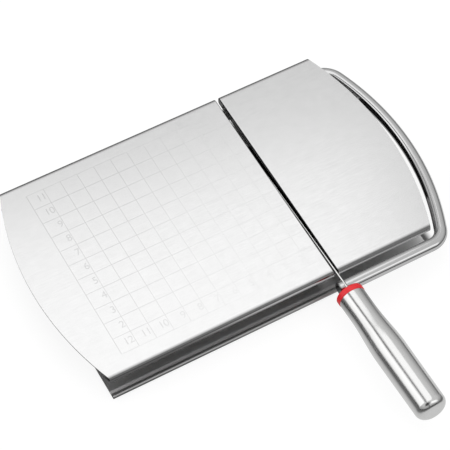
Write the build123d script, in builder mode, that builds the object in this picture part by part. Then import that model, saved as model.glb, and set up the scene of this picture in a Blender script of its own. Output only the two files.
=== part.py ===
from build123d import *

import os
from math import atan2, cos, hypot, pi, sin, sqrt

# Cheese slicer board: a slotted steel top on two rails, with a wire strung on a hinged arm.
# Units are millimetres. Z is up and the board stands on z = 0. X runs to the right, Y to the back.
# The cutting slot runs front to back. Places in X are measured from the middle of the slot,
# and places in Y from the middle of the board, unless a comment says otherwise.
os.makedirs("parts", exist_ok=True)

# Top plates
top_height = 20.0            # table to the cutting surface
board_width = 129.2          # front to back, over the folded edges
left_reach = 143.6           # slot's middle to the crown of the left end
right_reach = 69.6           # slot's middle to the crown of the right end
end_radius = 178.0           # bow of both ends, seen from above
slot_width = 2.1
plate_sheet = 0.8
lip_round = 1.9              # outside radius where the sheet folds down
lip_flat = 0.7               # upright stretch between the two folds
hem_round = 1.0              # outside radius where it folds in under the top
hem_width = 5.0              # from the outer face of the lip to the sheet's inner edge
slot_edge_round = 0.6
slot_wall_round = 2.0        # lower corners of the slot's walls
slot_wall_clearance = 0.3    # between the slot's walls and the rod that passes under them

# Rails
rail_sheet = 1.0
rail_depth = 30.6            # board's edge to the back of the web
flange_overhang = 1.4        # lower flange's reach past the board's edge
rail_top_flange = 20.0
rail_height = 17.7           # lower flange's underside to the plates
rail_bend = 0.6              # inside radius of the folds
bead_depth = 3.0             # rolled outer edge of the lower flange
bead_height = 2.3
bead_round = 1.1
gate_clearance = 0.7         # each side of the slot's folded edges
gate_floor_clearance = 5.0   # under the wire where it passes through the rear rail

# Feet
foot_diameter = 12.0
foot_edge_round = 0.5
foot_stem_diameter = 4.0
foot_bulb_diameter = 5.4
foot_bulb_height = 2.0
foot_bulb_round = 0.9
foot_from_end = 12.0         # rail's end to the foot's middle
foot_from_web = 8.0          # back of the web to the foot's middle

# Hinge
rod_diameter = 7.0
pivot_inset = 7.0            # board's edge to the hinge axis
pivot_drop = 9.0             # cutting surface to the hinge axis
bush_clearance = 0.05        # radial, between the rod and a bush
bush_wall = 0.75
bush_length = 5.0            # sleeve, from the flange on
bush_flange = 1.2
bush_rim = 1.0               # flange's overhang past the sleeve
bracket_sheet = 2.0
bracket_rim = 1.1            # metal round the bush
bracket_bend = 1.5           # outside radius of the fold at the bottom
bracket_base = 10.0          # length of the welded foot
bracket_bead_clearance = 0.2
inner_bracket_x = 12.0       # slot's middle to the inner bracket's bush flange face
outer_bracket_inset = 9.4    # rail's right end to the outer bracket's bush flange face
clip_groove_depth = 0.5
clip_thickness = 0.8
clip_rim = 2.0               # clip's overhang past the rod
clip_gap = 3.4               # opening of the clip
clip_clearance = 0.1         # along the rod, to the bush

# Arm
bar_drop = 3.2               # cutting surface to the front bar's axis
bar_gap = 4.3                # board's front edge to the front bar
arm_gap = 4.1                # right end of the board to the bow of the arm
arm_bow_radius = 160.0
rear_bend_radius = 12.0      # on the rod's middle line
front_bend_radius = 10.0
rod_overrun = 3.5            # rod's ends past the wire
rod_end_round = 0.4

# Cutting wire
wire_diameter = 0.9
wire_rise = 3.0              # wire's middle above the rod's middle line
notch_clearance = 0.1        # each side of the wire in the saw cut that holds it
bead_ball_diameter = 1.9
bead_ball_seat = 0.05        # between a bead and the rod

# Handle
stud_diameter = 4.0
stud_inset = 0.4             # stud's riveted end, inside the bar's back
stud_end_chamfer = 0.4
stud_engagement = 15.0       # length screwed into the handle
thread_clearance = 0.05
ring_gap = 1.1               # bar to the ring
ring_length = 3.5
ring_diameter = 15.4
ring_clearance = 0.1         # radial, on the stud
ring_pocket_clearance = 0.6  # round the wire's bead
ring_round = 0.7
neck_diameter = 14.9
neck_length = 9.5
waist_place = 22.5           # from the handle's start to the middle of its swelling
waist_diameter = 16.1
belly_place = 37.0           # from the handle's start to its thickest place
belly_diameter = 17.8
tail_diameter = 17.3
tail_round = 4.5
handle_length = 78.2
handle_wall = 0.8
insert_length = 18.0

# Heights and places worked out from the sizes above
half_width = board_width / 2
half_slot = slot_width / 2
lip_depth = lip_round + lip_flat + hem_round
slot_wall_depth = pivot_drop - rod_diameter / 2 - slot_wall_clearance
corner_setback = end_radius - sqrt(end_radius**2 - half_width**2)
plate_under = top_height - plate_sheet
rail_bottom = plate_under - rail_height
rail_floor = rail_bottom + rail_sheet
rail_back = half_width - rail_depth
rail_left = left_reach - corner_setback
rail_right = right_reach - corner_setback
flange_edge = half_width + flange_overhang
foot_y = rail_back + foot_from_web
foot_xs = (("left", foot_from_end - rail_left), ("right", rail_right - foot_from_end))
rod_radius = rod_diameter / 2
pivot_y = half_width - pivot_inset
pivot_height = top_height - pivot_drop
bar_y = half_width + bar_gap + rod_radius
bar_height = top_height - bar_drop
arm_reach = hypot(pivot_y + bar_y, bar_height - pivot_height)
arm_tilt = atan2(bar_height - pivot_height, pivot_y + bar_y)
arm_crown = right_reach + arm_gap + rod_radius
bush_bore_radius = rod_radius + bush_clearance
bush_radius = bush_bore_radius + bush_wall
outer_bracket_x = rail_right - outer_bracket_inset
wire_radius = wire_diameter / 2
ball_radius = bead_ball_diameter / 2
ball_place = sqrt((rod_radius + bead_ball_seat + ball_radius) ** 2 - wire_rise**2)
ring_radius = ring_diameter / 2
neck_radius = neck_diameter / 2
stud_radius = stud_diameter / 2
ring_start = rod_radius + ring_gap
handle_start = ring_start + ring_length
handle_end = handle_start + handle_length

# The origin is in the middle of the object's box and on the table
reach_front = (
    (arm_reach + handle_end - tail_round) * cos(arm_tilt)
    + (tail_diameter / 2 - tail_round) * sin(arm_tilt)
    + tail_round
    - pivot_y
)
slot_x = (left_reach - arm_crown - rod_radius) / 2
middle_y = (reach_front - flange_edge) / 2

# Planes: the table, the board seen from its right side, the arm, the handle and the wire
table = Plane(origin=(slot_x, middle_y, 0))
side_view = Plane(origin=(slot_x, middle_y, 0), x_dir=(0, 1, 0), z_dir=(1, 0, 0))
arm_plane = Plane(
    origin=(slot_x, middle_y + pivot_y, pivot_height),
    x_dir=(1, 0, 0),
    z_dir=(0, sin(arm_tilt), cos(arm_tilt)),
)
outward = -arm_plane.y_dir
bar_middle = arm_plane.from_local_coords((0, -arm_reach, 0))
handle_plane = Plane(origin=bar_middle, x_dir=(1, 0, 0), z_dir=outward)
handle_profile = Plane(origin=bar_middle, x_dir=(1, 0, 0), z_dir=-arm_plane.z_dir)
handle_axis = Axis(bar_middle, outward)
wire_plane = Plane(
    origin=arm_plane.from_local_coords((0, 0, wire_rise)), x_dir=(1, 0, 0), z_dir=outward
)


# Top plates: sheet folded down along the slot, and down and in at the front and the back
def top_plate(side, reach):
    """Make the plate on one side of the slot: -1 is the left one, 1 the right one."""
    fold_end = half_slot + plate_sheet
    inner_height = lip_depth - 2 * plate_sheet
    with BuildPart() as plate:
        with BuildSketch(side_view.offset(side * half_slot)) as closed_section:
            with Locations((0, top_height - slot_wall_depth / 2)):
                Rectangle(board_width, slot_wall_depth)
            fillet(closed_section.vertices().group_by(Axis.Y)[-1], lip_round)
            fillet(closed_section.vertices().group_by(Axis.Y)[0], slot_wall_round)
        extrude(amount=side * plate_sheet)
        slot_face = plate.faces().filter_by(Axis.X).sort_by(Axis.X)[0 if side > 0 else -1]
        fillet(slot_face.edges(), slot_edge_round)
        with BuildSketch(side_view.offset(side * fold_end)) as open_section:
            with Locations((0, top_height - lip_depth / 2)):
                Rectangle(board_width, lip_depth)
            fillet(open_section.vertices().group_by(Axis.Y)[-1], lip_round)
            fillet(open_section.vertices().group_by(Axis.Y)[0], hem_round)
            with BuildSketch(mode=Mode.PRIVATE) as hollow:
                with Locations((0, top_height - lip_depth / 2)):
                    Rectangle(board_width - 2 * plate_sheet, inner_height)
                fillet(hollow.vertices().group_by(Axis.Y)[-1], lip_round - plate_sheet)
            add(hollow.sketch, mode=Mode.SUBTRACT)
            with Locations((0, top_height - lip_depth)):
                Rectangle(board_width - 2 * hem_width, 2 * plate_sheet + inner_height, mode=Mode.SUBTRACT)
        extrude(amount=side * (reach - fold_end))
        with BuildSketch(table):
            with Locations((side * (reach - end_radius), 0)):
                Circle(end_radius)
        extrude(amount=top_height, mode=Mode.INTERSECT)
    return plate


for side, name, reach in ((-1, "left_plate", left_reach), (1, "right_plate", right_reach)):
    plate = top_plate(side, reach)
    plate.part.label = name
    export_step(plate.part, f"parts/{name}.step")

# The rails' gate lets the wire and the slot's folded edges through
gate_width = slot_width + 2 * (plate_sheet + gate_clearance)
gate_wire_height = pivot_height + wire_rise + (pivot_y - rail_back - rail_top_flange) * sin(arm_tilt)
gate_floor = gate_wire_height - wire_radius - gate_floor_clearance


# Rails: channels that open outwards, with a rolled edge
def rail(side):
    """Make the rail on one side of the board: -1 is the front one, 1 the rear one."""
    half_sheet = rail_sheet / 2
    web_middle = rail_back + half_sheet
    bead_middle = flange_edge - bead_depth / 2
    with BuildPart() as channel:
        with BuildSketch(side_view.offset(-rail_left)):
            with BuildLine():
                FilletPolyline(
                    (side * (rail_back + rail_top_flange), plate_under - half_sheet),
                    (side * web_middle, plate_under - half_sheet),
                    (side * web_middle, rail_bottom + half_sheet),
                    (side * bead_middle, rail_bottom + half_sheet),
                    radius=rail_bend + half_sheet,
                )
            trace(line_width=rail_sheet)
            with Locations((side * bead_middle, rail_bottom + bead_height / 2)):
                RectangleRounded(bead_depth, bead_height, bead_round)
        extrude(amount=rail_left + rail_right)
        with BuildSketch(table.offset(gate_floor)):
            with Locations((0, side * (rail_back + rail_top_flange / 2))):
                Rectangle(gate_width, rail_top_flange + 2 * rail_sheet)
        extrude(amount=top_height - gate_floor, mode=Mode.SUBTRACT)
        with BuildSketch(table.offset(rail_bottom)):
            with Locations(*((x, side * foot_y) for _, x in foot_xs)):
                Circle(foot_stem_diameter / 2)
        extrude(amount=rail_sheet, mode=Mode.SUBTRACT)
    return channel


for side, name in ((-1, "front_rail"), (1, "rear_rail")):
    channel = rail(side)
    channel.part.label = name
    export_step(channel.part, f"parts/{name}.step")


# Feet: rubber pads pushed through the rails' lower flanges
def foot(x, y):
    """Make one push-in foot at x, y."""
    with BuildPart() as rubber:
        with BuildSketch(table):
            with Locations((x, y)):
                Circle(foot_diameter / 2)
        extrude(amount=rail_bottom)
        fillet(rubber.faces().sort_by(Axis.Z)[0].edges(), foot_edge_round)
        with BuildSketch(table.offset(rail_bottom)):
            with Locations((x, y)):
                Circle(foot_stem_diameter / 2)
        extrude(amount=rail_sheet)
        with BuildSketch(table.offset(rail_floor)):
            with Locations((x, y)):
                Circle(foot_bulb_diameter / 2)
        extrude(amount=foot_bulb_height)
        fillet(rubber.faces().sort_by(Axis.Z)[-1].edges(), foot_bulb_round)
    return rubber


for row, side in (("front", -1), ("rear", 1)):
    for column, x in foot_xs:
        rubber = foot(x, side * foot_y)
        rubber.part.label = f"{row}_{column}_foot"
        export_step(rubber.part, f"parts/{row}_{column}_foot.step")


# Hinge brackets: an upright ear that holds a bush, folded out of a foot welded to the rear rail
def hinge_bracket(face_x, direction):
    """Make a bracket with its bush flange face at face_x. Its foot points in direction, 1 or -1."""
    base_width = 2 * (flange_edge - bead_depth - bracket_bead_clearance - pivot_y)
    with BuildPart() as bracket:
        with BuildSketch(side_view.offset(face_x)):
            with Locations((pivot_y, pivot_height)):
                Circle(bush_radius + bracket_rim)
            with Locations((pivot_y, (rail_floor + pivot_height) / 2)):
                Rectangle(base_width, pivot_height - rail_floor)
        extrude(amount=direction * bracket_sheet)
        with BuildSketch(table.offset(rail_floor)):
            with Locations((face_x + direction * bracket_base / 2, pivot_y)):
                Rectangle(bracket_base, base_width)
        extrude(amount=bracket_sheet)
        bottom_edges = bracket.edges().filter_by(Axis.Y).group_by(Axis.Z)[0]
        fillet(bottom_edges.sort_by(Axis.X)[0 if direction > 0 else -1], bracket_bend)
        with BuildSketch(side_view.offset(face_x)):
            with Locations((pivot_y, pivot_height)):
                Circle(bush_radius)
        extrude(amount=direction * bracket_sheet, mode=Mode.SUBTRACT)
    return bracket


# Hinge bushes: plain sleeves with a flange against the bracket
def hinge_bush(face_x, direction):
    """Make a bush with its flange against face_x. Its sleeve points in direction, 1 or -1."""
    with BuildPart() as bush:
        with BuildSketch(side_view.offset(face_x)):
            with Locations((pivot_y, pivot_height)):
                Circle(bush_radius)
                Circle(bush_bore_radius, mode=Mode.SUBTRACT)
        extrude(amount=direction * bush_length)
        with BuildSketch(side_view.offset(face_x)):
            with Locations((pivot_y, pivot_height)):
                Circle(bush_radius + bush_rim)
                Circle(bush_bore_radius, mode=Mode.SUBTRACT)
        extrude(amount=-direction * bush_flange)
    return bush


for place, face_x, direction in (("inner", inner_bracket_x, 1), ("outer", outer_bracket_x, -1)):
    bracket = hinge_bracket(face_x, direction)
    bracket.part.label = f"{place}_hinge_bracket"
    export_step(bracket.part, f"parts/{place}_hinge_bracket.step")
    bush = hinge_bush(face_x, direction)
    bush.part.label = f"{place}_hinge_bush"
    export_step(bush.part, f"parts/{place}_hinge_bush.step")

# The rod's path in the arm's plane: rear leg, bend, bow, bend, front bar
bow_x = arm_crown - arm_bow_radius
bow_y = -pivot_y / cos(arm_tilt)
rear_bend_y = -rear_bend_radius
rear_bend_x = bow_x + sqrt((arm_bow_radius - rear_bend_radius) ** 2 - (rear_bend_y - bow_y) ** 2)
front_bend_y = front_bend_radius - arm_reach
front_bend_x = bow_x + sqrt((arm_bow_radius - front_bend_radius) ** 2 - (front_bend_y - bow_y) ** 2)
rear_angle = atan2(rear_bend_y - bow_y, rear_bend_x - bow_x)
front_angle = atan2(front_bend_y - bow_y, front_bend_x - bow_x)


def on_circle(x, y, radius, angle):
    """Give the point at an angle, in radians, on a circle about x, y."""
    return (x + radius * cos(angle), y + radius * sin(angle))


bow_rear = on_circle(bow_x, bow_y, arm_bow_radius, rear_angle)
bow_middle = on_circle(bow_x, bow_y, arm_bow_radius, (rear_angle + front_angle) / 2)
bow_front = on_circle(bow_x, bow_y, arm_bow_radius, front_angle)
rear_bend_middle = on_circle(rear_bend_x, rear_bend_y, rear_bend_radius, (pi / 2 + rear_angle) / 2)
front_bend_middle = on_circle(
    front_bend_x, front_bend_y, front_bend_radius, (front_angle - pi / 2) / 2
)

# Spring clips sit in grooves at the outer sides of the bushes
inner_clip_x = inner_bracket_x - bush_flange - clip_clearance - clip_thickness
outer_clip_x = outer_bracket_x + bush_flange + clip_clearance
groove_radius = rod_radius - clip_groove_depth

# Arm: one rod with a groove for each clip, a saw cut for each end of the wire and a cross hole
with BuildPart() as swing_arm:
    with BuildLine(arm_plane) as arm_path:
        Line((-rod_overrun, 0), (rear_bend_x, 0))
        ThreePointArc((rear_bend_x, 0), rear_bend_middle, bow_rear)
        ThreePointArc(bow_rear, bow_middle, bow_front)
        ThreePointArc(bow_front, front_bend_middle, (front_bend_x, -arm_reach))
        Line((front_bend_x, -arm_reach), (-rod_overrun, -arm_reach))
    with BuildSketch(side_view.offset(-rod_overrun)):
        with Locations((pivot_y, pivot_height)):
            Circle(rod_radius)
    sweep(path=arm_path.line)
    fillet(swing_arm.faces().filter_by(Axis.X).edges(), rod_end_round)
    with BuildSketch(arm_plane.offset(wire_rise - wire_radius)):
        with Locations((0, 0), (0, -arm_reach)):
            Rectangle(wire_diameter + 2 * notch_clearance, rod_diameter)
    extrude(amount=rod_radius, mode=Mode.SUBTRACT)
    with BuildSketch(handle_plane.offset(-rod_radius)):
        Circle(stud_radius)
    extrude(amount=rod_diameter, mode=Mode.SUBTRACT)
    for clip_x in (inner_clip_x, outer_clip_x):
        with BuildSketch(side_view.offset(clip_x)):
            with Locations((pivot_y, pivot_height)):
                Circle(rod_diameter)
                Circle(groove_radius, mode=Mode.SUBTRACT)
        extrude(amount=clip_thickness, mode=Mode.SUBTRACT)
swing_arm.part.label = "swing_arm"
export_step(swing_arm.part, "parts/swing_arm.step")

with BuildPart() as retaining_clips:
    for clip_x in (inner_clip_x, outer_clip_x):
        with BuildSketch(side_view.offset(clip_x)):
            with Locations((pivot_y, pivot_height)):
                Circle(rod_radius + clip_rim)
                Circle(groove_radius, mode=Mode.SUBTRACT)
            with Locations((pivot_y, pivot_height - rod_radius - clip_rim)):
                Rectangle(clip_gap, rod_diameter + 2 * clip_rim, mode=Mode.SUBTRACT)
        extrude(amount=clip_thickness)
retaining_clips.part.label = "retaining_clips"
export_step(retaining_clips.part, "parts/retaining_clips.step")

# Wire, with a crimped bead at each end that catches behind the rod
wire_tail = ball_place + ball_radius
with BuildPart() as cutting_wire:
    with BuildSketch(wire_plane.offset(-wire_tail)):
        Circle(wire_radius)
    extrude(amount=arm_reach + 2 * wire_tail)
cutting_wire.part.label = "cutting_wire"
export_step(cutting_wire.part, "parts/cutting_wire.step")

for row, place in (("rear", -ball_place), ("front", arm_reach + ball_place)):
    with BuildPart(wire_plane.offset(place)) as wire_bead:
        Sphere(ball_radius)
        Cylinder(wire_radius, bead_ball_diameter, mode=Mode.SUBTRACT)
    wire_bead.part.label = f"{row}_wire_bead"
    export_step(wire_bead.part, f"parts/{row}_wire_bead.step")

# Stud: riveted in the front bar's cross hole, and screwed into the handle
with BuildPart() as handle_stud:
    with BuildSketch(handle_plane.offset(stud_inset - rod_radius)):
        Circle(stud_radius)
    extrude(amount=rod_radius - stud_inset + handle_start + stud_engagement)
    chamfer(handle_stud.faces().sort_by(handle_axis)[-1].edges(), stud_end_chamfer)
handle_stud.part.label = "handle_stud"
export_step(handle_stud.part, "parts/handle_stud.step")

# Ring between the bar and the handle, with a pocket over the wire's bead
pocket_depth = ball_place + ball_radius + ring_pocket_clearance - ring_start
with BuildPart() as handle_ring:
    with BuildSketch(handle_plane.offset(ring_start)):
        Circle(ring_radius)
        Circle(stud_radius + ring_clearance, mode=Mode.SUBTRACT)
    extrude(amount=ring_length)
    fillet(handle_ring.edges().filter_by(GeomType.CIRCLE).sort_by(SortBy.RADIUS)[-2:], ring_round)
    with BuildSketch(handle_plane.offset(ring_start)):
        Circle(wire_rise + ball_radius + ring_pocket_clearance)
    extrude(amount=pocket_depth, mode=Mode.SUBTRACT)
handle_ring.part.label = "handle_ring"
export_step(handle_ring.part, "parts/handle_ring.step")


# Handle: a drawn tube, closed at its tail, with a threaded insert pressed into its neck
def handle_body(inset):
    """Make the handle's round body, smaller by inset all over but open at the neck."""
    end = handle_end - inset
    neck = (neck_radius - inset, handle_start + neck_length)
    waist = (waist_diameter / 2 - inset, handle_start + waist_place)
    belly = (belly_diameter / 2 - inset, handle_start + belly_place)
    with BuildPart() as body:
        with BuildSketch(handle_profile) as outline:
            with BuildLine():
                Polyline((0, end), (0, handle_start), (neck_radius - inset, handle_start), neck)
                Spline(neck, waist, belly, tangents=[(0, 1), (0, 1)])
                Polyline(belly, (tail_diameter / 2 - inset, end), (0, end))
            make_face()
            fillet(outline.vertices().group_by(Axis.Y)[-1].sort_by(Axis.X)[-1], tail_round - inset)
        revolve(axis=handle_axis)
    return body.part


with BuildPart() as handle_shell:
    add(handle_body(0))
    add(handle_body(handle_wall), mode=Mode.SUBTRACT)
handle_shell.part.label = "handle_shell"
export_step(handle_shell.part, "parts/handle_shell.step")

with BuildPart() as handle_insert:
    with BuildSketch(handle_plane.offset(handle_start)):
        Circle(neck_radius - handle_wall)
        Circle(stud_radius + thread_clearance, mode=Mode.SUBTRACT)
    extrude(amount=insert_length)
handle_insert.part.label = "handle_insert"
export_step(handle_insert.part, "parts/handle_insert.step")
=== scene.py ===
# %% [markdown]
# # A cheese slicer board in Blender
# The board is a low steel table with a slot across it. A wire, strung on a bowed arm, swings down into
# the slot. The measured pieces come from a packed model, at their real size and place, in metres.
# This lesson gives them their finish: ground plates, rolled rails, a polished rod and handle, and a red
# ring. It also etches the centimetre grid on the left plate.

# %% Open the measured model
from math import cos, pi, radians, sin

import bmesh
import bpy
from mathutils import Matrix, Vector


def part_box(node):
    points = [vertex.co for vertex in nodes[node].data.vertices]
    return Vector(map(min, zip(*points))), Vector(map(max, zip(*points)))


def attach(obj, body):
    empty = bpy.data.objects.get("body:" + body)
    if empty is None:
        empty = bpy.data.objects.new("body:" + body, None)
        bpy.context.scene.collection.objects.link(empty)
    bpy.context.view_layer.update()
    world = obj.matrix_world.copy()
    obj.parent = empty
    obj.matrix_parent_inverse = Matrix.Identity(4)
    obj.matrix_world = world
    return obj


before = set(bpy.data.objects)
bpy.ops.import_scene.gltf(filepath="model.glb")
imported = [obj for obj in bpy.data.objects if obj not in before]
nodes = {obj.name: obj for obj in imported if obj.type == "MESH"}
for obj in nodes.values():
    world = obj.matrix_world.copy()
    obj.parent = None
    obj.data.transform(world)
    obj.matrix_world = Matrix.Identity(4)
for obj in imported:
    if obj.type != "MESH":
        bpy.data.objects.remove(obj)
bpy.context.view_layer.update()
MM = 0.001

# %% [markdown]
# Every place below is worked out from a few lines of the board itself: the middle of the slot, the
# middle of the board from front to back, and the height of the cutting surface. Read from the model,
# they stay right if the board's size changes.

# %% Find the board's own lines
left_low, left_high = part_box("left_plate")
right_low, right_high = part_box("right_plate")
slot_x = (left_high.x + right_low.x) / 2
middle_y = (left_low.y + left_high.y) / 2
top_z = left_high.z
print("slot at x", round(slot_x / MM, 2), "mm, top at", round(top_z / MM, 2), "mm")

# %% [markdown]
# ## Camera
# The photograph was taken from far away with a long lens, which keeps the board's lines nearly
# parallel. The camera stands in front, a little to the left, and looks down by 56.5 degrees. It could be
# placed by hand, but the point that it looks at, two angles, a distance and a small roll say the same
# and can be corrected one by one.

# %% Set up the camera
camera_azimuth = radians(29.54)
camera_elevation = radians(56.50)
camera_roll = radians(0.526)
camera_distance = 1.0633
camera_target = Vector((slot_x - 33.2 * MM, middle_y - 5.2 * MM, top_z - 10 * MM))

look = Vector((
    sin(camera_azimuth) * cos(camera_elevation),
    cos(camera_azimuth) * cos(camera_elevation),
    -sin(camera_elevation),
))
camera_data = bpy.data.cameras.new("camera")
camera_data.lens = 160
camera_data.sensor_width = 36
camera = bpy.data.objects.new("camera", camera_data)
bpy.context.scene.collection.objects.link(camera)
turn = look.to_track_quat("-Z", "Y").to_matrix() @ Matrix.Rotation(camera_roll, 3, "Z")
camera.matrix_world = Matrix.Translation(camera_target - look * camera_distance) @ turn.to_4x4()
bpy.context.scene.camera = camera
bpy.context.scene.view_settings.view_transform = "Standard"
print("camera at", [round(v, 3) for v in camera.location])

# %% [markdown]
# ## Shader helpers
# The room, the floor and the finishes are node trees. They could be wired by hand, one node after the
# other, but a few small helpers keep them readable: one adds a node, one does a sum, one gives the
# largest value, one eases a value from one range to another, and one reads a place or a direction.

# %% Define the shader helpers
def add_node(tree, kind, **settings):
    """Add a node and set its own properties."""
    node = tree.nodes.new(kind)
    for name, value in settings.items():
        setattr(node, name, value)
    return node


def feed(tree, socket, value):
    """Link a socket to another one's output, or set its number."""
    if isinstance(value, bpy.types.NodeSocket):
        tree.links.new(value, socket)
    else:
        socket.default_value = value


def calc(tree, operation, *values):
    """Add one Math node and give its result."""
    node = add_node(tree, "ShaderNodeMath", operation=operation)
    for socket, value in zip(node.inputs, values):
        feed(tree, socket, value)
    return node.outputs[0]


def most(tree, *values):
    """Give the largest of several values."""
    largest = values[0]
    for value in values[1:]:
        largest = calc(tree, "MAXIMUM", largest, value)
    return largest


def ease(tree, value, low, high, start=0.0, end=1.0):
    """Ease a value from start to end while it goes from low to high."""
    node = add_node(tree, "ShaderNodeMapRange", interpolation_type="SMOOTHSTEP")
    feed(tree, node.inputs["Value"], value)
    for name, number in (("From Min", low), ("From Max", high), ("To Min", start), ("To Max", end)):
        feed(tree, node.inputs[name], number)
    return node.outputs["Result"]


def split(tree, output):
    """Give the X, Y and Z of a place or a direction, read from a Texture Coordinate output."""
    parts = add_node(tree, "ShaderNodeSeparateXYZ")
    tree.links.new(add_node(tree, "ShaderNodeTexCoord").outputs[output], parts.inputs[0])
    return parts.outputs


print("helpers:", [helper.__name__ for helper in (add_node, feed, calc, most, ease, split)])

# %% [markdown]
# ## Room
# Polished steel shows what stands round it, so the room matters more than the lamps. It could be built
# from walls and cards, but a world that works out its brightness from the direction needs no pieces,
# and each dark shape moves with one number. First it reads the direction: to the right, back and up.

# %% Read the direction in the room
world = bpy.data.worlds.new("studio")
bpy.context.scene.world = world
world.use_nodes = True
room = world.node_tree
room.nodes.clear()
to_right, to_back, upward = split(room, "Generated")
over_floor = calc(room, "SQRT", calc(room, "SUBTRACT", 1.0, calc(room, "MULTIPLY", upward, upward)))


def heading(part, sign):
    """Give how far a direction, seen from above, points one way: 0 for not at all and 1 for fully."""
    return calc(room, "MAXIMUM", calc(room, "DIVIDE", calc(room, "MULTIPLY", part, sign), over_floor), 0.0)


toward_left = heading(to_right, -1.0)
toward_right = heading(to_right, 1.0)
toward_front = heading(to_back, -1.0)
print("world:", world.name)

# %% [markdown]
# Dark shapes give polished steel its contrast. Black cards stand low at the left and in front, and a
# fainter one at the right, so a dark band lies along the horizon there. A narrow dark strip goes up on
# the left and shows as the thin grey line along the handle. The camera's own stand is a dark round
# patch, which shows on the handle's rounded end.

# %% Darken parts of the room
BAND_HEIGHT = 0.07           # top of the dark band at the sides, as the direction's height
BAND_RISE = 0.09             # how much higher the band is in front
STRIP_SLOPE = 0.466          # the strip leans 25 degrees to the left of straight up
STRIP_WIDTH = 0.075
STRIP_DEPTH = 0.90
STAND = Vector((-0.37, -0.56, 0.74))     # direction from the board to the camera's stand
STAND_SPREAD = 22.0          # degrees
STAND_DEPTH = 0.96
CARDS = (                    # direction, where a card begins and where it is full, and its depth
    (toward_left, 0.15, 0.6, 1.0),
    (toward_front, 0.5, 0.8, 0.9),
    (toward_right, 0.2, 0.9, 0.5),
)

band_height = calc(room, "ADD", BAND_HEIGHT, calc(room, "MULTIPLY", toward_front, BAND_RISE))
band = ease(room, calc(room, "DIVIDE", calc(room, "ABSOLUTE", upward), band_height), 0.75, 1.15, 1.0, 0.0)
cards = [ease(room, way, begins, full, 0.0, depth) for way, begins, full, depth in CARDS]
lean = calc(room, "ABSOLUTE", calc(room, "ADD", to_right, calc(room, "MULTIPLY", upward, STRIP_SLOPE)))
strip = ease(room, lean, STRIP_WIDTH / 2, STRIP_WIDTH, STRIP_DEPTH, 0.0)
parts = [calc(room, "MULTIPLY", part, share) for part, share in zip((to_right, to_back, upward), STAND)]
facing = calc(room, "ADD", calc(room, "ADD", parts[0], parts[1]), parts[2])
stand_rim, stand_core = cos(radians(STAND_SPREAD)), cos(radians(STAND_SPREAD / 2))
stand = ease(room, facing, stand_rim, stand_core, 0.0, STAND_DEPTH)
darkness = most(room, calc(room, "MULTIPLY", band, most(room, *cards)), strip, stand)
print("dark shapes:", len(CARDS), "cards, a strip and a stand")

# %% [markdown]
# The rest of the room is a pale dome that darkens to the horizon. The photograph's ground is plain
# white, and more light would bleach the steel, so Light Path lets only the camera, and what is seen
# through something clear, see the world as white. Steel sees the dome and its dark shapes.

# %% Light the dome
DOME_LOW = 0.42
DOME_HIGH = 0.82
DOME_FULL = 0.75             # height of the direction from which the dome is at its brightest
CARD = 0.03                  # brightness of a dark shape


def between(tree, share, start, end):
    """Go from one value to another by a share."""
    node = add_node(tree, "ShaderNodeMix", data_type="FLOAT")
    feed(tree, node.inputs[0], share)
    feed(tree, node.inputs[2], start)
    feed(tree, node.inputs[3], end)
    return node.outputs[0]


dome = ease(room, upward, 0.0, DOME_FULL, DOME_LOW, DOME_HIGH)
path = add_node(room, "ShaderNodeLightPath")
sees_white = most(room, path.outputs["Is Camera Ray"], path.outputs["Is Transmission Ray"])
background = add_node(room, "ShaderNodeBackground")
background.inputs["Color"].default_value = (1, 1, 1, 1)
feed(room, background.inputs["Strength"], between(room, sees_white, between(room, darkness, dome, CARD), 1.0))
room.links.new(background.outputs[0], add_node(room, "ShaderNodeOutputWorld").inputs[0])
print("room nodes:", len(room.nodes))

# %% [markdown]
# Three soft panels stand round the board. The one above and the one on the left make the white strips
# along the handle. The right and back edges of the top panel's image fall across the board, so the
# plates fade from white at the front left to grey at the back right. The panel is turned a little, so
# that the left end keeps more of its light. The front panel puts a bright line on the front bar.

# %% Hang the light panels
def hang_panel(name, middle, aim, width, length, brightness, skew=0):
    """Hang an area lamp that shows the given brightness.

    Its length runs front to back, or is turned to the right by skew degrees.
    """
    data = bpy.data.lights.new(name, "AREA")
    data.shape = "RECTANGLE"
    data.size = width
    data.size_y = length
    data.energy = brightness * pi * width * length
    lamp = bpy.data.objects.new(name, data)
    bpy.context.scene.collection.objects.link(lamp)
    back = (Vector(middle) - Vector(aim)).normalized()
    ahead = Vector((sin(radians(skew)), cos(radians(skew)), 0))
    along = (ahead - back * back.dot(ahead)).normalized()
    across = along.cross(back)
    lamp.matrix_world = Matrix.Translation(middle) @ Matrix((across, along, back)).transposed().to_4x4()
    print(name, "gives", round(data.energy, 2), "W")


aim = (slot_x, middle_y, top_z)
hang_panel("top_panel", (0.06, 0.19, 1.05), aim, 0.72, 1.06, 0.64, skew=12)
hang_panel("left_panel", (-0.97, 0.45, 0.68), aim, 0.92, 1.00, 0.80)
hang_panel("front_panel", (0.42, -0.80, 0.64), aim, 0.80, 0.40, 0.75)

# %% [markdown]
# ## Floor
# The board stands on a white ground without an edge. A curved backdrop could hide the edge, but one
# large flat sheet does the same where the camera looks down.

# %% Lay the floor
FLOOR_SIZE = 8.0

floor_mesh = bpy.data.meshes.new("floor")
shape = bmesh.new()
bmesh.ops.create_grid(shape, x_segments=1, y_segments=1, size=FLOOR_SIZE / 2)
shape.to_mesh(floor_mesh)
shape.free()
floor = bpy.data.objects.new("floor", floor_mesh)
bpy.context.scene.collection.objects.link(floor)
print("floor:", round(floor.dimensions.x, 1), "m wide")

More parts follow.
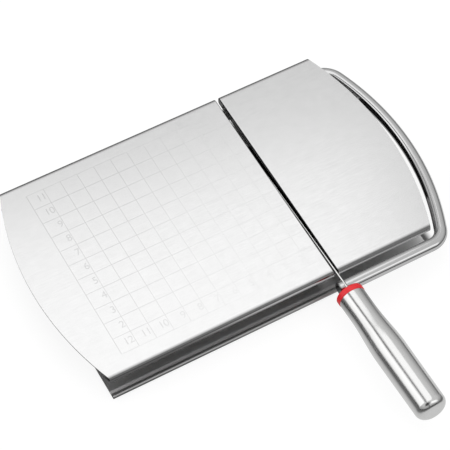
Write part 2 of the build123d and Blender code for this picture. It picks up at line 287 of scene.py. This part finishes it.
# %% [markdown]
# Under the board there is only shade, and polished steel sees the floor bright close by and dark further
# off, as on a small white table in a dark room. So the paint needs to know how far a spot lies outside
# the board, and how far from the slot, below which the handle hangs. A painted picture could say that
# too, but the floor's own coordinates and the board's edges give it at any size.

# %% Measure the floor round the board
SHADE_EDGES = {"left": 22 * MM, "right": 10 * MM, "front": 4 * MM, "back": 4 * MM}     # inside the board
SHADE_FADE = 5 * MM
NEAR_END = 50 * MM           # up to here steel sees the floor bright
FAR_START = 130 * MM         # from here on it sees the floor dark
LEFT_REACH = 105 * MM        # left of the slot, where the bright floor ends

floor_paint = bpy.data.materials.new("floor_paint")
floor_paint.use_nodes = True
paint = floor_paint.node_tree
paint.nodes.clear()
spot_x, spot_y, _ = split(paint, "Object")
outside = most(
    paint,
    calc(paint, "SUBTRACT", left_low.x + SHADE_EDGES["left"], spot_x),
    calc(paint, "SUBTRACT", spot_x, right_high.x - SHADE_EDGES["right"]),
    calc(paint, "SUBTRACT", left_low.y + SHADE_EDGES["front"], spot_y),
    calc(paint, "SUBTRACT", spot_y, left_high.y - SHADE_EDGES["back"]),
)
clear = ease(paint, outside, 0.0, SHADE_FADE)
handle_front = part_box("handle_shell")[0].y
left_of_slot = calc(paint, "SUBTRACT", slot_x, spot_x)
from_handle = most(
    paint, calc(paint, "ABSOLUTE", left_of_slot), calc(paint, "SUBTRACT", handle_front, spot_y)
)
reach = ease(paint, calc(paint, "MINIMUM", outside, from_handle), NEAR_END, FAR_START, 1.0, 0.0)
near = calc(paint, "MULTIPLY", reach, ease(paint, left_of_slot, 0.0, LEFT_REACH, 1.0, 0.0))
print("handle's end at y", round(handle_front / MM, 1), "mm")

# %% [markdown]
# The paint has a matt part, which takes shadows, and a glow. To the camera most of the brightness is
# glow, so the floor reads as the photograph's white and keeps a faint shadow. Steel sees another glow,
# by the distances just measured. Lamps bright enough to whiten the floor would bleach the board.

# %% Paint the floor
FLOOR_PALE = 0.68
FLOOR_FAINT = 0.20           # colour of the matt part that the camera sees
FLOOR_GLOW = 0.865
STEEL_SEES_MATT = 0.1        # share of the matt part that steel sees
STEEL_SEES_NEAR = 0.76
STEEL_SEES_FAR = 0.13
SHADE_REACH = 30 * MM        # how far the board's shade dims what steel sees
SHADE_SHARE = 0.45

rays = add_node(paint, "ShaderNodeLightPath")
camera_ray = rays.outputs["Is Camera Ray"]
steel_ray = most(paint, rays.outputs["Is Glossy Ray"], rays.outputs["Is Transmission Ray"])
plain = ease(paint, camera_ray, 0.0, 1.0, FLOOR_PALE, FLOOR_FAINT)
matt_share = ease(paint, steel_ray, 0.0, 1.0, 1.0, STEEL_SEES_MATT)
matt = add_node(paint, "ShaderNodeBsdfDiffuse")
feed(paint, matt.inputs["Color"], calc(paint, "MULTIPLY", plain, matt_share))
seen_by_steel = calc(
    paint, "MULTIPLY", ease(paint, near, 0.0, 1.0, STEEL_SEES_FAR, STEEL_SEES_NEAR),
    ease(paint, outside, 0.0, SHADE_REACH, SHADE_SHARE, 1.0),
)
glow_strength = calc(
    paint, "ADD", calc(paint, "MULTIPLY", camera_ray, FLOOR_GLOW),
    calc(paint, "MULTIPLY", steel_ray, seen_by_steel),
)
glow = add_node(paint, "ShaderNodeEmission")
feed(paint, glow.inputs["Strength"], calc(paint, "MULTIPLY", clear, glow_strength))
both = add_node(paint, "ShaderNodeAddShader")
paint.links.new(matt.outputs[0], both.inputs[0])
paint.links.new(glow.outputs[0], both.inputs[1])
paint.links.new(both.outputs[0], add_node(paint, "ShaderNodeOutputMaterial").inputs[0])
floor_mesh.materials.append(floor_paint)
print("floor paint nodes:", len(paint.nodes))

# %% [markdown]
# ## Steel
# All the steel here starts from one recipe. Its metal is set on the shader, and a noise that is
# stretched along the direction of grinding varies the roughness and the tone and gives a very fine
# relief. A picture of ground steel would look alike from far away, but it repeats and blurs close up.
# Object coordinates are in metres, so a scale of 1000 gives one speck a millimetre.

# %% Define the steel recipe
def make_steel(name, colour, roughness, spread, grain, relief, mottle=0.0, mottle_scale=60.0):
    """Make steel ground in one direction. grain is how many streaks a metre lie along X, Y and Z."""
    steel = bpy.data.materials.new(name)
    steel.use_nodes = True
    tree = steel.node_tree
    shader = tree.nodes["Principled BSDF"]
    shader.inputs["Metallic"].default_value = 1.0
    place = add_node(tree, "ShaderNodeTexCoord").outputs["Object"]
    stretch = add_node(tree, "ShaderNodeMapping")
    stretch.inputs["Scale"].default_value = grain
    tree.links.new(place, stretch.inputs["Vector"])
    streaks = add_node(tree, "ShaderNodeTexNoise")
    streaks.inputs["Scale"].default_value = 1.0
    streaks.inputs["Detail"].default_value = 3.0
    streaks.inputs["Roughness"].default_value = 0.6
    tree.links.new(stretch.outputs[0], streaks.inputs["Vector"])
    clouds = add_node(tree, "ShaderNodeTexNoise")
    clouds.inputs["Scale"].default_value = mottle_scale
    clouds.inputs["Detail"].default_value = 2.0
    tree.links.new(place, clouds.inputs["Vector"])
    streak = streaks.outputs["Fac"]
    cloud = clouds.outputs["Fac"]
    dullness = ease(tree, streak, 0.25, 0.75, roughness - spread, roughness + spread)
    feed(tree, shader.inputs["Roughness"], dullness)
    tone = add_node(tree, "ShaderNodeMix", data_type="RGBA")
    tone.inputs[6].default_value = (*(c * (1 - mottle) for c in colour), 1)
    tone.inputs[7].default_value = (*(c * (1 + mottle) for c in colour), 1)
    halves = [calc(tree, "MULTIPLY", noise, 0.5) for noise in (streak, cloud)]
    feed(tree, tone.inputs[0], calc(tree, "ADD", *halves))
    tree.links.new(tone.outputs[2], shader.inputs["Base Color"])
    bump = add_node(tree, "ShaderNodeBump")
    bump.inputs["Strength"].default_value = relief
    bump.inputs["Distance"].default_value = 0.02 * MM
    tree.links.new(streak, bump.inputs["Height"])
    tree.links.new(bump.outputs[0], shader.inputs["Normal"])
    return steel


def darken(steel, share):
    """Multiply a steel's colour by a share that changes over the piece."""
    tree = steel.node_tree
    base = tree.nodes["Principled BSDF"].inputs["Base Color"]
    darker = add_node(tree, "ShaderNodeMix", data_type="RGBA", blend_type="MULTIPLY")
    darker.inputs[0].default_value = 1.0
    tree.links.new(base.links[0].from_socket, darker.inputs[6])
    tree.links.new(share, darker.inputs[7])
    tree.links.new(darker.outputs[2], base)


def dress(material, *names):
    """Give measured pieces a finish."""
    for name in names:
        slots = nodes[name].data.materials
        slots.clear()
        slots.append(material)
    print(material.name, "on", ", ".join(names))


print("recipe:", make_steel.__doc__)

# %% [markdown]
# The plates are ground from left to right. Their colour holds painted shade: it is painted dark along
# their folds and where the flat face begins to bend, lighter again on the lip as a painted reflection,
# and nearly black on the walls that go down into the slot. Separate pieces could carry these marks, but
# they belong to one sheet, so one material works them out from the direction of the face and from its
# place.

# %% Finish the plates
FOLD_SHADE = 0.20                  # painted shade on the folds, as a share of the flat face's colour
BEND_SHADE = 0.25                # painted shade where the flat face begins to bend, as the same share
# painted reflection on the lip and painted shade on the slot's walls, as the same share
LIP_REFLECTION = 0.85
SLOT_WALL_SHADE = 0.06

ground = {"spread": 0.05, "grain": (100, 1700, 900), "relief": 0.08, "mottle": 0.055, "mottle_scale": 220.0}
plate_steel = make_steel("plate_steel", (0.675, 0.675, 0.675), 0.21, **ground)
dress(plate_steel, "left_plate", "right_plate")
tree = plate_steel.node_tree
face_x, _, face_z = split(tree, "Normal")
place_x, place_y, _ = split(tree, "Object")
half_width = (left_high.y - left_low.y) / 2
from_middle = calc(tree, "ABSOLUTE", calc(tree, "SUBTRACT", place_y, middle_y))
from_side = calc(tree, "SUBTRACT", half_width, from_middle)
# painted shade on the folds, where the bend begins and on the slot walls; painted reflection on the lip
bend_shade = ease(tree, from_side, 0.8 * MM, 3.0 * MM, BEND_SHADE, 1.0)
fold_shade = calc(tree, "MULTIPLY", ease(tree, face_z, 0.80, 0.995, FOLD_SHADE, 1.0), bend_shade)
lip_reflection = ease(tree, face_z, 0.35, 0.65, LIP_REFLECTION, FOLD_SHADE)
from_slot = calc(tree, "ABSOLUTE", calc(tree, "SUBTRACT", place_x, slot_x))
sideways = ease(tree, calc(tree, "ABSOLUTE", face_x), 0.3, 0.8)
slot_wall_shade_mask = calc(tree, "MULTIPLY", sideways, ease(tree, from_slot, 3 * MM, 4 * MM, 1.0, 0.0))
painted_bend_tone = calc(tree, "MAXIMUM", fold_shade, lip_reflection)
darken(plate_steel, calc(tree, "MULTIPLY", painted_bend_tone, ease(tree, slot_wall_shade_mask, 0.0, 1.0, 1.0, SLOT_WALL_SHADE)))
print("folds", round(half_width / MM, 1), "mm from the middle")

# %% [markdown]
# The rails are bright rolled sheet. Their lower flange is rubbed dull in a narrow stripe beside the
# rolled edge, and the stripe's colour is painted lighter, a painted highlight; together they show as a
# light line in front of the board. The rolled edge itself is painted darker, a painted shade. A groove
# in the steel could make that line too, but the real flange is flat there.

# %% Finish the rails
RAIL_ROUGH = 0.38
STRIPE_ROUGH = 0.62
STRIPE_BACK = 2.3 * MM       # board's front edge to the middle of the rubbed stripe
STRIPE_HALF = 1.4 * MM
BESIDE_STRIPE_HIGHLIGHT = 0.95             # colour beside the stripe, as a share of the stripe's, so the stripe is a painted highlight
RAIL_EDGE_SHADE = 0.46             # painted shade on the rolled edge, as the same share

rail_steel = make_steel("rail_steel", (0.86, 0.86, 0.86), RAIL_ROUGH, 0.04, (20, 900, 900), 0.06, mottle=0.03)
dress(rail_steel, "front_rail", "rear_rail")
tree = rail_steel.node_tree
from_front = calc(tree, "SUBTRACT", split(tree, "Object")[1], left_low.y)
from_stripe = calc(tree, "ABSOLUTE", calc(tree, "SUBTRACT", from_front, STRIPE_BACK))
stripe = ease(tree, from_stripe, STRIPE_HALF / 2, STRIPE_HALF, 1.0, 0.0)
rail_dullness = tree.nodes["Principled BSDF"].inputs["Roughness"]
rubbing = calc(tree, "MULTIPLY", stripe, STRIPE_ROUGH - RAIL_ROUGH)
tree.links.new(calc(tree, "ADD", rail_dullness.links[0].from_socket, rubbing), rail_dullness)
# painted shade on the rolled edge, and the stripe painted lighter as a painted highlight
rolled_edge_shade = ease(tree, from_front, 0.6 * MM, 1.2 * MM, RAIL_EDGE_SHADE, 1.0)
darken(rail_steel, calc(tree, "MULTIPLY", rolled_edge_shade, ease(tree, stripe, 0.0, 1.0, BESIDE_STRIPE_HIGHLIGHT, 1.0)))
print("stripe at y", round((left_low.y + STRIPE_BACK) / MM, 1), "mm")

# %% [markdown]
# The arm is one polished rod, bent cold. It has no direction of grinding, so its noise is the same
# along every axis. Its end beside the wire is painted dark at the left of the slot, a painted shade in
# the same material. A second material there would leave a hard line.

# %% Finish the rod
END_SHADE = 0.22                  # colour of the end's painted shade, as a share of the polished rod's

rod_steel = make_steel("rod_steel", (0.55, 0.55, 0.55), 0.11, 0.03, (300, 300, 300), 0.03, mottle=0.03)
dress(rod_steel, "swing_arm")
tree = rod_steel.node_tree
from_slot = calc(tree, "SUBTRACT", split(tree, "Object")[0], slot_x)
# painted shade: the rod's end goes dark left of the slot
darken(rod_steel, ease(tree, from_slot, -3.3 * MM, -2.4 * MM, END_SHADE, 1.0))

# %% [markdown]
# The other steel pieces need no marks, so each is one line of the recipe. The handle is polished along
# its length, the wire is drawn, the stud and insert are turned on a lathe, the brackets are pressed,
# and the clips are dark spring steel. The grain runs as the tool did: few streaks a metre along it,
# many across it.

# %% Finish the other steel pieces
handle_steel = make_steel(
    "handle_steel", (0.65, 0.65, 0.645), 0.17, 0.04, (1500, 40, 1500), 0.08, mottle=0.05
)
dress(handle_steel, "handle_shell")

wire_steel = make_steel("wire_steel", (0.76, 0.76, 0.75), 0.18, 0.04, (2500, 100, 2500), 0.05, mottle=0.05)
dress(wire_steel, "cutting_wire")

bead_steel = make_steel("bead_steel", (0.58, 0.58, 0.57), 0.25, 0.05, (1200, 1200, 1200), 0.10, mottle=0.06)
dress(bead_steel, "rear_wire_bead", "front_wire_bead")

bracket_steel = make_steel("bracket_steel", (0.50, 0.50, 0.50), 0.28, 0.06, (700, 700, 80), 0.15, mottle=0.06)
dress(bracket_steel, "inner_hinge_bracket", "outer_hinge_bracket")

turned_steel = make_steel("turned_steel", (0.55, 0.55, 0.55), 0.22, 0.05, (800, 3000, 800), 0.12, mottle=0.05)
dress(turned_steel, "handle_stud", "handle_insert")

spring_steel = make_steel("spring_steel", (0.30, 0.30, 0.31), 0.30, 0.06, (900, 900, 900), 0.10, mottle=0.08)
dress(spring_steel, "retaining_clips")

# %% [markdown]
# ## Plastic and rubber
# The ring is red plastic with a soft gloss, the bushes are nylon and the feet are rubber. A flat colour
# would look false even on plastic, so a fine noise moves each one's tone and roughness and gives it a
# grain.

# %% Finish the plastic and rubber pieces
def make_moulded(name, colour, roughness, grain, relief):
    """Make moulded plastic or rubber with a fine grain of the given number of specks a metre."""
    moulded = bpy.data.materials.new(name)
    moulded.use_nodes = True
    tree = moulded.node_tree
    shader = tree.nodes["Principled BSDF"]
    place = add_node(tree, "ShaderNodeTexCoord").outputs["Object"]
    specks = add_node(tree, "ShaderNodeTexNoise")
    specks.inputs["Scale"].default_value = grain
    specks.inputs["Detail"].default_value = 3.0
    tree.links.new(place, specks.inputs["Vector"])
    speck = specks.outputs["Fac"]
    feed(tree, shader.inputs["Roughness"], ease(tree, speck, 0.3, 0.7, roughness - 0.06, roughness + 0.06))
    tone = add_node(tree, "ShaderNodeMix", data_type="RGBA")
    tone.inputs[6].default_value = (*(c * 0.93 for c in colour), 1)
    tone.inputs[7].default_value = (*(min(c * 1.07, 1.0) for c in colour), 1)
    feed(tree, tone.inputs[0], speck)
    tree.links.new(tone.outputs[2], shader.inputs["Base Color"])
    bump = add_node(tree, "ShaderNodeBump")
    bump.inputs["Strength"].default_value = relief
    bump.inputs["Distance"].default_value = 0.05 * MM
    tree.links.new(speck, bump.inputs["Height"])
    tree.links.new(bump.outputs[0], shader.inputs["Normal"])
    return moulded


ring_red = make_moulded("ring_red", (0.90, 0.018, 0.028), 0.38, 900, 0.05)
dress(ring_red, "handle_ring")
bush_nylon = make_moulded("bush_nylon", (0.80, 0.79, 0.74), 0.45, 1200, 0.08)
dress(bush_nylon, "inner_hinge_bush", "outer_hinge_bush")
foot_rubber = make_moulded("foot_rubber", (0.025, 0.025, 0.026), 0.75, 1500, 0.25)
dress(foot_rubber, "front_left_foot", "front_right_foot", "rear_left_foot", "rear_right_foot")

# %% [markdown]
# ## Centimetre grid
# The left plate is etched with squares of one centimetre, so that slices can be cut to measure. An
# image texture could hold the lines, but a thin mesh stays sharp at any size. A grid of faces is
# made, each face is drawn in by half a line's width, and the faces inside are taken out. What is left
# is a net of lines, which lies a hundredth of a millimetre above the plate. It is cut off beside the
# slot, where the plate bends down.

# %% Etch the grid
CELL = 10 * MM
COLUMNS = 12
ROWS = 11
LINE = 0.34 * MM
BORDER_EXTRA = 0.25 * MM     # the left border is wider by this
LIFT = 0.012 * MM
PLATE_EDGE = 2.2 * MM        # slot's middle to the net's right end
GRID_BACK = 0.9 * MM         # board's middle to the grid's middle

grid_middle = Vector((slot_x - COLUMNS * CELL / 2, middle_y + GRID_BACK, top_z + LIFT))
net = bmesh.new()
bmesh.ops.create_grid(net, x_segments=COLUMNS, y_segments=ROWS, size=0.5)
bmesh.ops.scale(net, vec=(COLUMNS * CELL, ROWS * CELL, 1), verts=net.verts)
squares = list(net.faces)
bmesh.ops.inset_individual(net, faces=squares, thickness=LINE / 2, use_even_offset=True)
bmesh.ops.delete(net, geom=squares, context="FACES")
border = [v for v in net.verts if v.co.x < -COLUMNS * CELL / 2 + LINE / 4]
bmesh.ops.translate(net, vec=(-BORDER_EXTRA, 0, 0), verts=border)
bmesh.ops.translate(net, vec=grid_middle, verts=net.verts)
bmesh.ops.bisect_plane(
    net, geom=net.verts[:] + net.edges[:] + net.faces[:], plane_co=(slot_x - PLATE_EDGE, 0, 0),
    plane_no=(1, 0, 0), clear_outer=True,
)
grid_mesh = bpy.data.meshes.new("centimetre_grid")
net.to_mesh(grid_mesh)
net.free()
centimetre_grid = bpy.data.objects.new("centimetre_grid", grid_mesh)
bpy.context.scene.collection.objects.link(centimetre_grid)
print("grid faces:", len(grid_mesh.polygons))

# %% [markdown]
# Plain numbers count the squares from the slot along the front row, and from the front along the
# left column. They could be drawn line by line, but Blender's own type is quicker and evenly made. Each
# is a text curve made into a mesh, then moved to the back right corner of its square.

# %% Etch the numbers
NUMBER_SIZE = 6.0 * MM
NUMBER_RIGHT = 0.2 * MM      # from a square's right line to the number
NUMBER_BACK = 1.6 * MM       # from a square's back line to the number

numbers = bmesh.new()


def etch_number(value, right, back):
    """Add a number whose right end and top are at the given place, seen from the front."""
    curve = bpy.data.curves.new("number", "FONT")
    curve.body = str(value)
    curve.size = NUMBER_SIZE
    curve.space_character = 0.9
    curve.align_x = "RIGHT"
    curve.align_y = "TOP"
    curve.resolution_u = 4
    holder = bpy.data.objects.new("number", curve)
    flat = bpy.data.meshes.new_from_object(holder)
    flat.transform(Matrix.Translation((right, back, top_z + LIFT)))
    numbers.from_mesh(flat)
    bpy.data.objects.remove(holder)
    bpy.data.meshes.remove(flat)


grid_front = middle_y + GRID_BACK - ROWS * CELL / 2
left_column = slot_x - (COLUMNS - 1) * CELL - NUMBER_RIGHT
for count in range(2, COLUMNS + 1):
    etch_number(count, slot_x - (count - 1) * CELL - NUMBER_RIGHT, grid_front + CELL - NUMBER_BACK)
for count in range(2, ROWS + 1):
    etch_number(count, left_column, grid_front + count * CELL - NUMBER_BACK)
numbers_mesh = bpy.data.meshes.new("scale_numbers")
numbers.to_mesh(numbers_mesh)
numbers.free()
scale_numbers = bpy.data.objects.new("scale_numbers", numbers_mesh)
bpy.context.scene.collection.objects.link(scale_numbers)
print("number faces:", len(numbers_mesh.polygons))

# %% [markdown]
# Etching leaves the steel a little darker and duller than the plate, and cutting wears it away: the
# lines are clear at the left and nearly gone beside the slot, more so at the front. Fewer lines could
# say that, but worn ones are still there in the right light, so the colour does it. The etching is
# ground with the plate and has its grain.

# %% Finish the etching
FRESH_LINE = 0.855           # colour of an unworn line, as a share of a worn one's
WEAR_SLANT = 0.4             # how much faster the etching wears towards the front
WORN_TO = 25 * MM            # distance from the slot up to which the lines are worn
FRESH_FROM = 105 * MM

etched_steel = make_steel("etched_steel", (0.66, 0.66, 0.66), 0.23, **ground)
tree = etched_steel.node_tree
place_x, place_y, _ = split(tree, "Object")
from_slot = calc(tree, "SUBTRACT", slot_x, place_x)
slant = calc(tree, "MULTIPLY", calc(tree, "SUBTRACT", place_y, middle_y), WEAR_SLANT)
from_wear = calc(tree, "ADD", from_slot, slant)
darken(etched_steel, ease(tree, from_wear, WORN_TO, FRESH_FROM, 1.0, FRESH_LINE))
for piece in (centimetre_grid, scale_numbers):
    piece.data.materials.append(etched_steel)
    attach(piece, "board")
    print(etched_steel.name, "on", piece.name)

# %% [markdown]
